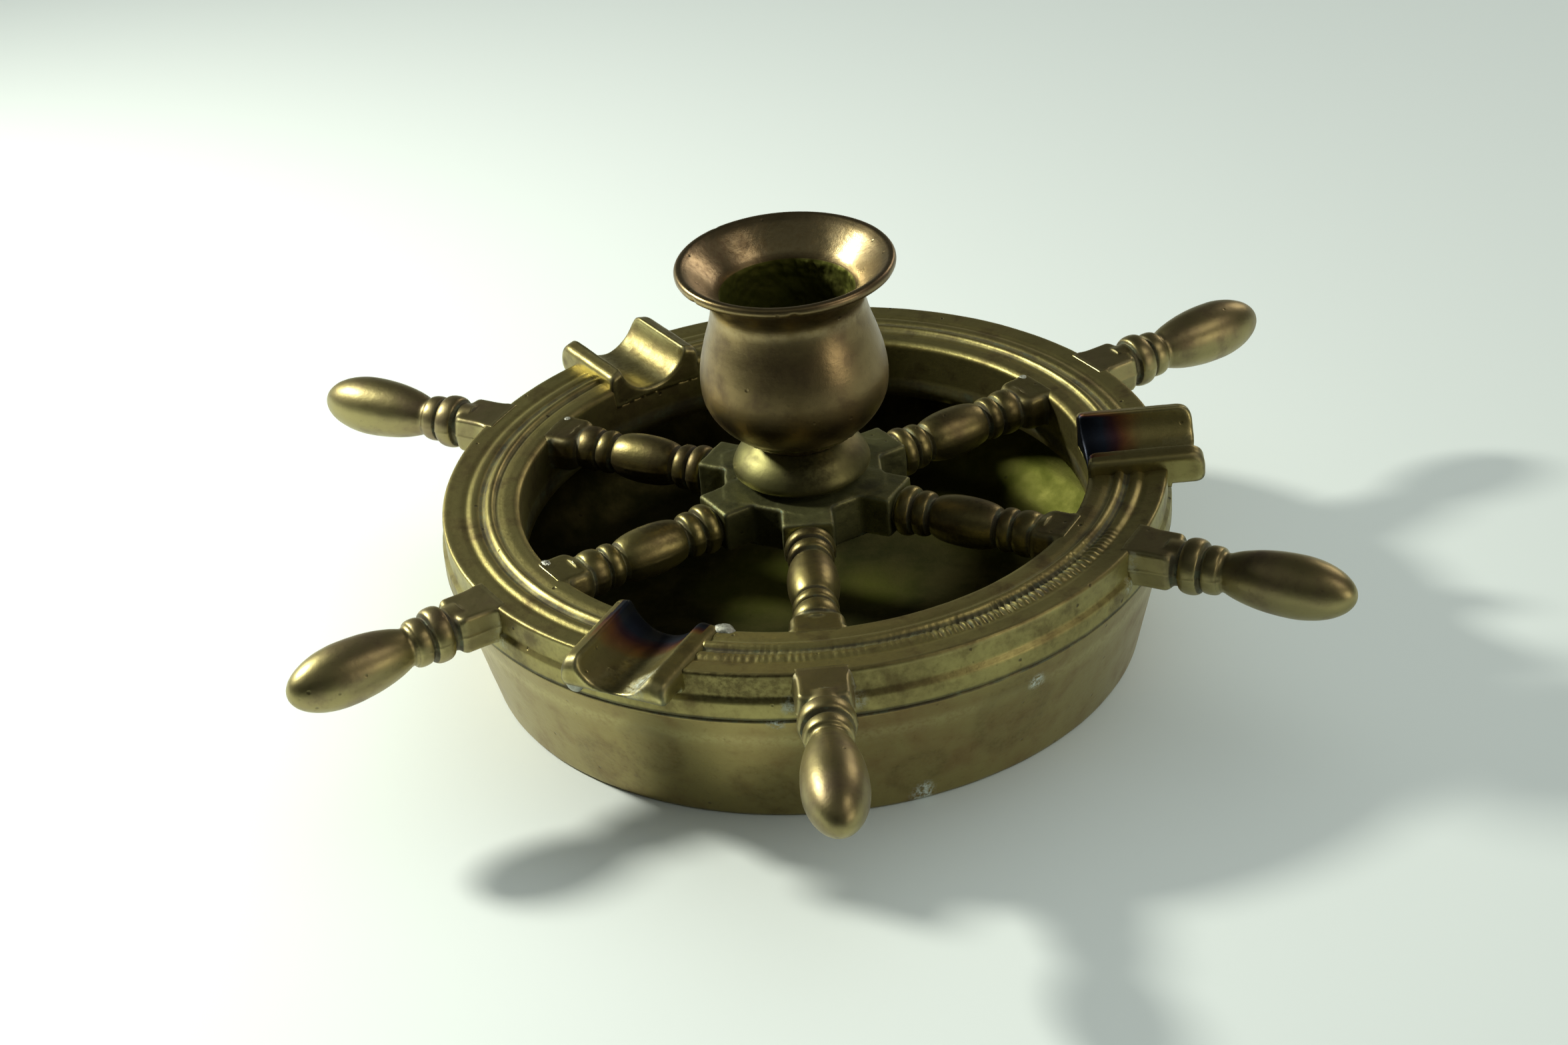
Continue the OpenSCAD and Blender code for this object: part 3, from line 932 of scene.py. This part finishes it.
def spoke_field(seed):
    shape = turned(spoke_outline())

    def field(p):
        radius = np.hypot(p[:, 1], p[:, 2] - AXLE_Z)
        out = shape(p[:, 0], radius) - parting_line(p, 0.08, 0.22, seed)
        block = drafted_section(p, 4.3, 2.85, 0.5, 1.0)
        start = 38.3 - p[:, 0] + 0.05 * radius**2
        block = meet(block, start, 1.6)
        block = np.maximum(block, p[:, 0] - RIM_INNER_R - 1.2)
        out = join(out, block, 0.35)
        wall = np.maximum(RIM_INNER_R + 0.25 - ring_radius(p), p[:, 2] - RIM_TOP_Z + 0.75)
        wall = np.maximum(wall, p[:, 0] - RIM_INNER_R - 1.2)
        wall = np.maximum(wall, drafted_section(p, 5.2, 5.2, 0.1, 0.5))
        out = join(out, wall, 0.9)
        return out + 0.06 * fractal(p, 5, seed) + 0.02 * fractal(p, 1.4, seed + 3)

    return field


def make_spokes():
    for k, angle in enumerate(SPOKE_ANGLES):
        name = "spoke_%d" % (k + 1)
        field = spoke_field(400 + 13 * k)
        points, faces, masks = sculpt(field, (13.8, -6, AXLE_Z - 6), (45.4, 6, AXLE_Z + 5), 0.24)
        points = turn(points, angle)
        masks["stain_and_shade"] = 0.7 * unit(fractal(points, 7, 500 + k) * 2.2)
        finish_mesh(name + "_cast", "wheel", [name], points, faces, masks, wheel_brass)


# ---- rests

EAR_HALF_W = 8.35
REST_UNDER_Z = 24.65


def rest_field(end_r, right_lower, left_lower, seed):
    middle_z = TROUGH_LOW_Z + TROUGH_R

    def field(p):
        x, y, z = p[:, 0], np.abs(p[:, 1]), p[:, 2]
        lower = right_lower + (left_lower - right_lower) * unit(p[:, 1] / 4 + 0.5)
        slope = 0.28 * np.maximum(y - 6.1, 0)
        end = meet(x - end_r, z - EAR_TOP_Z + 0.05 + lower + slope, 2.6)
        end = meet(end, np.where(x > RIM_WALL_R, REST_UNDER_Z - z, -5.0), 1.6)
        end = meet(end, RIM_INNER_R - 0.05 - ring_radius(p), 1.2)
        end = np.maximum(end, NOTCH_Z + 0.05 - z)
        side = y + 0.03 * (z - 28) - EAR_HALF_W
        block = meet(end, side, 1.0)
        trough = TROUGH_R - np.hypot(p[:, 1], z - middle_z)
        outer_lip = 0.55 * unit(1 - (end_r - x) / 1.2) ** 2
        inner_lip = 0.4 * unit(1 - (x - RIM_INNER_R) / 1.0) ** 2
        out = meet(block, trough + (outer_lip + inner_lip) * 0.3, 0.5)
        return out + 0.06 * fractal(p, 5, seed) + 0.02 * fractal(p, 1.5, seed + 2)

    return field


def make_rests():
    for k, (angle, shift, right_lower, left_lower) in enumerate(REST_PLACES):
        name = "rest_%d" % (k + 1)
        end_r = REST_END_R + shift
        field = rest_field(end_r, right_lower, left_lower, 600 + 17 * k)
        points, faces, masks = sculpt(field, (41.5, -10, NOTCH_Z - 1), (61.6, 10, EAR_TOP_Z + 1), 0.22)
        points[:, 2] = np.minimum(points[:, 2], EAR_TOP_Z)
        inner = points[:, 0] - RIM_INNER_R
        in_trough = unit((EAR_TOP_Z + 0.1 - points[:, 2]) / 0.8) * (np.abs(points[:, 1]) < 7)
        reach = 5.2 + 2.0 * fractal(points, 6, 640 + k) + (0.18 if k == 0 else -0.45) * points[:, 1]
        heat = unit(1.15 - inner / np.maximum(reach, 1) * 0.75) * in_trough
        masks["heat_tint"] = heat * (0.0 if k == 1 else 1.0)
        if k == 2:
            mark = np.array([57.5, 3.6, TROUGH_LOW_Z + 1.2])
            masks["deposit"] = unit(1.4 - np.linalg.norm((points - mark) / (2.6, 2.2, 2.6), axis=1))
        points = turn(points, angle)
        finish_mesh(name + "_cast", "wheel", [name], points, faces, masks, wheel_brass)


# ---- solder left at the joints


def blob_field(centre, size, seed):
    def field(p):
        q = (p - centre) / size
        return (np.linalg.norm(q, axis=1) - 1) * min(size) + 0.18 * fractal(p, 1.6, seed)

    return field


def make_solder():
    # Angle, distance out, height and half sizes (outward, round the rim, up) of each blob
    blobs = [
        (-107.5, 43.9, 27.2, (1.3, 1.7, 0.9)),
        (-153.5, 43.6, 26.9, (1.0, 1.2, 0.8)),
        (231.2, 55.9, 22.4, (1.1, 1.7, 1.9)),
        (34.0, 43.8, 27.0, (0.9, 1.0, 0.7)),
        (146.5, 43.7, 26.9, (0.9, 1.1, 0.7)),
    ]
    for k, (angle, out, z, size) in enumerate(blobs):
        name = "solder_%d" % (k + 1)
        centre, size = np.array([out, 0, z]), np.array(size)
        field = blob_field(centre, size, 700 + k)
        reach = size + 0.8
        points, faces, masks = sculpt(field, centre - reach, centre + reach, 0.16)
        masks["deposit"] = np.full(len(points), 0.35)
        points = turn(points, angle)
        finish_mesh(name, "wheel", [], points, faces, masks, solder)


# ---- cup, foot and fastening


def cup_relief(p):
    radius = ring_radius(p)
    bore = (radius < SOCKET_R + 0.5) & (p[:, 2] < LIP_Z - 5.2)
    rough_cast = 0.30 * fractal(p, 1.1, 81, 3) * bore
    nick = np.zeros(len(p))
    for at, z, size in ((-147, LIP_Z - 1.2, 0.8), (-88, LIP_Z - 1.3, 0.9), (128, LIP_Z - 0.3, 0.7)):
        nick += 0.22 * spot(p, at, LIP_R, z, size, 0.9)
    return 0.045 * fractal(p, 9, 83) + rough_cast - nick


def make_cup():
    throat_z = LIP_Z - 5.0
    base_z = CUP_LOW_Z + 0.02
    under_lip, over_lip = (15.2, 62.35), (15.4, 64.1)
    throat = (10.25, throat_z + 0.1)
    belly = [(6.75, base_z), (8.7, 36.0), (11.9, 38.8), (13.7, 41.8), (14.15, 45.0), (13.85, 48.2)]
    neck = [(13.05, 51.4), (12.1, 54.4), (11.6, 57.0), (11.95, 59.0), (13.2, 60.9), under_lip]
    outside = spline(belly + neck)
    lip = spline([under_lip, (16.25, 62.75), (16.45, 63.45), (16.1, 64.05), over_lip], 6)
    inside = spline([over_lip, (14.2, 63.3), (12.3, 61.6), (10.9, 60.2), throat])
    floor = [(SOCKET_R - 0.1, SOCKET_FLOOR_Z, 1.2), (0, SOCKET_FLOOR_Z, 0)]
    bore = rounded([(*throat, 0), (SOCKET_R, throat_z - 0.5, 0.3)] + floor, closed=False)
    outline = np.vstack([[[0, base_z]], outside, lip[1:], inside[1:], bore[1:]])
    outline = resample(outline, lambda x, y: np.where(y > LIP_Z - 9, 0.22, 0.34), closed=False)
    points, faces, masks = lathe(outline, min(420, MOST_QUADS // len(outline)), cup_relief, closed=False)
    points[:, 2] = np.minimum(points[:, 2], LIP_Z)
    radius = ring_radius(points)
    too_wide = radius > LIP_R
    points[too_wide, :2] *= (LIP_R / radius[too_wide])[:, None]
    bore_mask = (radius < SOCKET_R + 0.4) & (points[:, 2] < throat_z) & (points[:, 2] > 37)
    masks["soot_and_shade"] = 0.5 * bore_mask
    masks["stain_and_shade"] = 0.8 * np.maximum(spot(points, 118, 12.5, 61.5, 1.4), spot(points, 60, 14, 50, 4))
    finish_mesh("cup_vase", "cup", ["cup"], points, faces, masks, cup_brass)


def make_foot():
    low = FOOT_LOW_Z
    widest = (FOOT_R, low + 1.3)
    seam_groove = rounded(
        [(0, low, 0), (8.6, low, 0.15), (8.6, low + 0.7, 0.2), (9.9, low + 0.7, 0.4), (*widest, 0)],
        closed=False,
    )
    shoulder = [(FOOT_R - 0.05, low + 2.1), (9.9, low + 3.3), (8.9, low + 4.5), (7.7, low + 5.4)]
    dome = spline([widest] + shoulder + [(6.7, CUP_LOW_Z)])
    outline = np.vstack([seam_groove, dome[1:], [[0, CUP_LOW_Z]]])
    outline = resample(outline, lambda x, y: np.where(x > 6, 0.25, 1.0), closed=False)

    def relief(p):
        return 0.04 * fractal(p, 6, 91) * (p[:, 2] > low + 0.6)

    points, faces, masks = lathe(outline, 300, relief, closed=False)
    # A painted shadow of the cup across the front of the foot
    masks["stain_and_shade"] = 0.9 * spot(points, -78, 8.0, low + 4.2, 4.6, 0.5)
    finish_mesh("cup_foot_dome", "cup", ["cup_foot"], points, faces, masks, foot_brass)


THREAD_PITCH = 0.9
THREAD_DEPTH = 0.28


def make_stud():
    low, high = box_mm("cup_stud")[0][2], box_mm("cup_stud")[1][2]

    def field(p):
        radius = ring_radius(p)
        phase = p[:, 2] / THREAD_PITCH - np.arctan2(p[:, 1], p[:, 0]) / (2 * math.pi)
        groove = THREAD_DEPTH * np.abs(2 * (phase - np.floor(phase)) - 1)
        threaded = unit((HUB_LOW_Z - 0.5 - p[:, 2]) / 0.6)
        out = radius - STUD_R + 0.01 + groove * threaded
        ends = np.maximum(low - p[:, 2], p[:, 2] - high)
        chamfer = (radius - STUD_R + 0.6 + low - p[:, 2]) * 0.7071
        return meet(np.maximum(out, chamfer), ends, 0.1)

    points, faces, masks = sculpt(field, (-3.8, -3.8, low - 0.6), (3.8, 3.8, high + 0.6), 0.16)
    finish_mesh("cup_stud_screw", "cup", ["cup_stud"], points, faces, masks, fastener_brass)


def make_flat_part(name, cad_node, field, low, high):
    """Sculpts a washer or nut inside its CAD box and keeps its two faces flat."""
    reach = high[0] + 0.8
    box_low, box_high = (-reach, -reach, low[2] - 0.6), (reach, reach, high[2] + 0.6)
    points, faces, masks = sculpt(field, box_low, box_high, 0.2)
    points[:, 2] = np.clip(points[:, 2], low[2], high[2])
    finish_mesh(name, "cup", [cad_node], points, faces, masks, fastener_brass)


def make_washer_and_nut():
    low, high = box_mm("washer")
    outer, inner = high[0], STUD_R + 0.2

    def washer_field(p):
        radius = ring_radius(p)
        flat = np.maximum(low[2] - p[:, 2], p[:, 2] - high[2]) + 0.01
        out = meet(np.maximum(radius - outer, inner - radius), flat, 0.25)
        return out + 0.02 * fractal(p, 3, 95)

    make_flat_part("washer_disc", "washer", washer_field, low, high)

    low, high = box_mm("nut")
    half_flats = high[1]
    middle, half_h = (low[2] + high[2]) / 2, (high[2] - low[2]) / 2

    def nut_field(p):
        radius = ring_radius(p)
        z = np.abs(p[:, 2] - middle)
        out = meet(hexagon(p, 30, half_flats), z - half_h + 0.01, 0.2)
        out = meet(out, (radius - half_flats - 0.15) * 0.5 + (z - half_h) * 0.866, 0.2)
        bore = STUD_R - 0.05 + 0.6 * unit(z - half_h + 0.6) - radius
        return meet(out, bore, 0.1) + 0.02 * fractal(p, 3, 97)

    make_flat_part("hex_nut", "nut", nut_field, low, high)


make_bowl()
make_rim()
make_hub()
make_spokes()
make_handles()
make_rests()
make_solder()
make_cup()
make_foot()
make_stud()
make_washer_and_nut()

# ---- floor, lights, camera


FLOOR_COLOUR = (0.80, 0.855, 0.815)
DARK_IN_REFLECTIONS_COLOUR = (0.03, 0.03, 0.03)
FLOOR_HALF_SIDE = 6.0


def make_floor():
    material = bpy.data.materials.new("pale_floor")
    material.use_nodes = True
    tree = material.node_tree
    shader = tree.nodes["Principled BSDF"]
    # Only in glossy rays, the floor ahead of the object is painted dark, a painted reflection of a dark front
    # in the metal; to the camera the floor itself is plain
    path = node(tree, "ShaderNodeLightPath")
    axes = node(tree, "ShaderNodeSeparateXYZ", {0: node(tree, "ShaderNodeNewGeometry").outputs["Position"]})
    ahead = remap(tree, axes.outputs[1], -0.09, -0.22, 0.0, 0.85)
    mirrored = times(tree, path.outputs["Is Glossy Ray"], ahead)
    tone = mix_colour(tree, mirrored, colour(*FLOOR_COLOUR), colour(*DARK_IN_REFLECTIONS_COLOUR))
    tree.links.new(tone, shader.inputs["Base Color"])
    shader.inputs["Roughness"].default_value = 0.8
    shader.inputs["Specular IOR Level"].default_value = 0.1
    mesh = bpy.data.meshes.new("floor")
    signs = ((-1, -1), (1, -1), (1, 1), (-1, 1))
    mesh.from_pydata([(FLOOR_HALF_SIDE * x, FLOOR_HALF_SIDE * y, 0) for x, y in signs], [], [(0, 1, 2, 3)])
    mesh.materials.append(material)
    floor = bpy.data.objects.new("floor", mesh)
    bpy.context.scene.collection.objects.link(floor)


def area_light(name, position, target, size, power, tint, spread=180):
    data = bpy.data.lights.new(name, "AREA")
    data.shape = "DISK"
    data.size = size
    data.energy = power
    data.color = tint
    data.spread = math.radians(spread)
    light = bpy.data.objects.new(name, data)
    light.location = position
    light.rotation_euler = (Vector(position) - Vector(target)).to_track_quat("Z", "Y").to_euler()
    bpy.context.scene.collection.objects.link(light)
    return light


def make_lights():
    middle = (0.0, 0.0, 0.03)
    area_light("key_lamp", (-0.342, 0.157, 0.270), (-0.12, -0.12, 0.0), 0.06, 1.50, (1.0, 1.0, 0.90), 142)
    # The three on the right only glint on the metal
    for name, position, size, power, tint in (
        ("right_back_lamp", (0.62, 0.75, 0.42), 0.34, 1.1, (1.0, 0.86, 0.78)),
        ("right_lamp", (0.60, -0.20, 0.72), 0.30, 0.8, (1.0, 0.88, 0.82)),
        ("low_lamp", (0.74, -0.46, 0.20), 0.34, 0.9, (1.0, 0.90, 0.80)),
    ):
        area_light(name, position, middle, size, power, tint).visible_diffuse = False
    world = bpy.data.worlds.new("studio")
    bpy.context.scene.world = world
    world.use_nodes = True
    tree = world.node_tree
    tree.nodes.clear()
    path = node(tree, "ShaderNodeLightPath")
    direction = node(tree, "ShaderNodeTexCoord").outputs["Generated"]
    axes = node(tree, "ShaderNodeSeparateXYZ", {0: direction})
    # The room is lighter on the right and behind the object; the metal mirrors its dim side
    toward = node(tree, "ShaderNodeVectorMath", {0: direction, 1: (0.88, 0.47, 0.0)}, operation="DOT_PRODUCT")
    ambient = remap(tree, toward.outputs["Value"], -0.7, 0.8, 0.04, 1.16)
    soft = node(tree, "ShaderNodeBackground", {"Color": colour(0.94, 1.0, 0.97), "Strength": ambient})
    low_glow = remap(tree, axes.outputs[2], 0.0, 0.50, 0.28, 0.008)
    glow = times(tree, low_glow, remap(tree, axes.outputs[1], -0.4, 0.7, 0.30, 1.0))
    glow = times(tree, glow, remap(tree, axes.outputs[0], -0.15, 0.35, 1.0, 0.5))
    above = times(tree, remap(tree, axes.outputs[1], -0.1, -0.5), remap(tree, axes.outputs[2], 0.5, 0.85))
    glow = plus(tree, glow, times(tree, above, 0.15))
    room = node(tree, "ShaderNodeBackground", {"Color": colour(0.97, 1.0, 0.90), "Strength": glow})
    either = {0: path.outputs["Is Glossy Ray"], 1: soft.outputs[0], 2: room.outputs[0]}
    shown = node(tree, "ShaderNodeMixShader", either)
    node(tree, "ShaderNodeOutputWorld", {"Surface": shown.outputs[0]})


LENS_MM = 76.03
CAMERA_DISTANCE = 0.5078
CAMERA_ELEVATION = 30.81
CAMERA_AZIMUTH = -0.25
CAMERA_ROLL = -5.245
CAMERA_TARGET = Vector((-0.00357, -0.00129, 0.020))


def make_camera():
    data = bpy.data.cameras.new("camera")
    data.lens = LENS_MM
    data.sensor_width = 36.0
    camera = bpy.data.objects.new("camera", data)
    elevation, azimuth = math.radians(CAMERA_ELEVATION), math.radians(CAMERA_AZIMUTH)
    forward = Vector(
        (math.sin(azimuth) * math.cos(elevation), math.cos(azimuth) * math.cos(elevation), -math.sin(elevation))
    )
    right = forward.cross(Vector((0, 0, 1))).normalized()
    up = right.cross(forward)
    rotation = Matrix((right, up, -forward)).transposed() @ Matrix.Rotation(math.radians(CAMERA_ROLL), 3, "Z")
    camera.matrix_world = Matrix.Translation(CAMERA_TARGET - CAMERA_DISTANCE * forward) @ rotation.to_4x4()
    bpy.context.scene.collection.objects.link(camera)
    bpy.context.scene.camera = camera


make_floor()
make_lights()
make_camera()
bpy.context.scene.view_settings.view_transform = "Standard"
